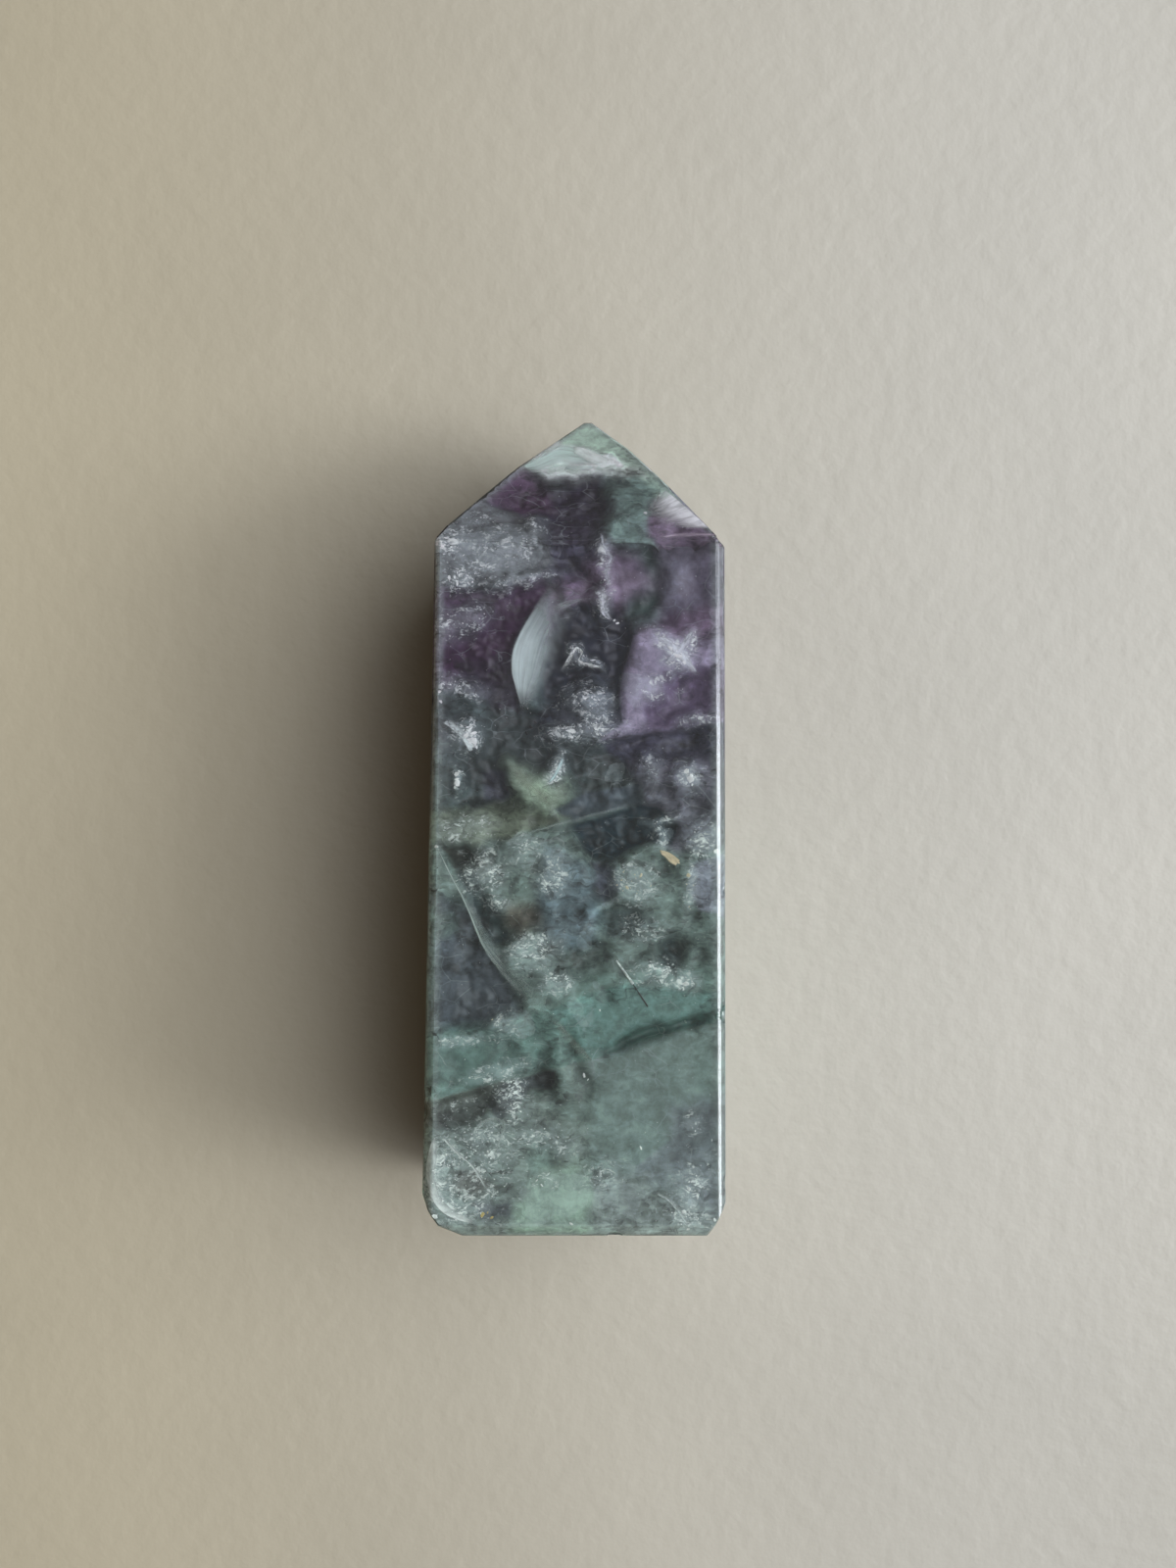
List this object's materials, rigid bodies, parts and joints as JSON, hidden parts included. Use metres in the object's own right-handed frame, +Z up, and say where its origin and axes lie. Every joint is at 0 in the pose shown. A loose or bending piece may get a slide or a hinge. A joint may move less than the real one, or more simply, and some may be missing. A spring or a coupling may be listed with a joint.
{
  "type": "feather fluorite tower",
  "caption": "Polished fluorite crystal tower with bevelled edges and a ground point, in green and purple zones crossed by white feathery veils.",
  "frame": {"origin": "under the middle of the bounding box, on the surface that the tower's back face lies on", "axes": "+Y runs from the base to the tip, +Z up out of the front face, +X to the right as the front face is looked at with the tip away"},
  "size_m": [0.031, 0.086, 0.0282],
  "materials": {
    "fluorite": "polished, translucent, with purple and green zones and white inclusions"
  },
  "bodies": {
    "root": {"fluorite_tower": "fluorite"}
  },
  "joints": []
}
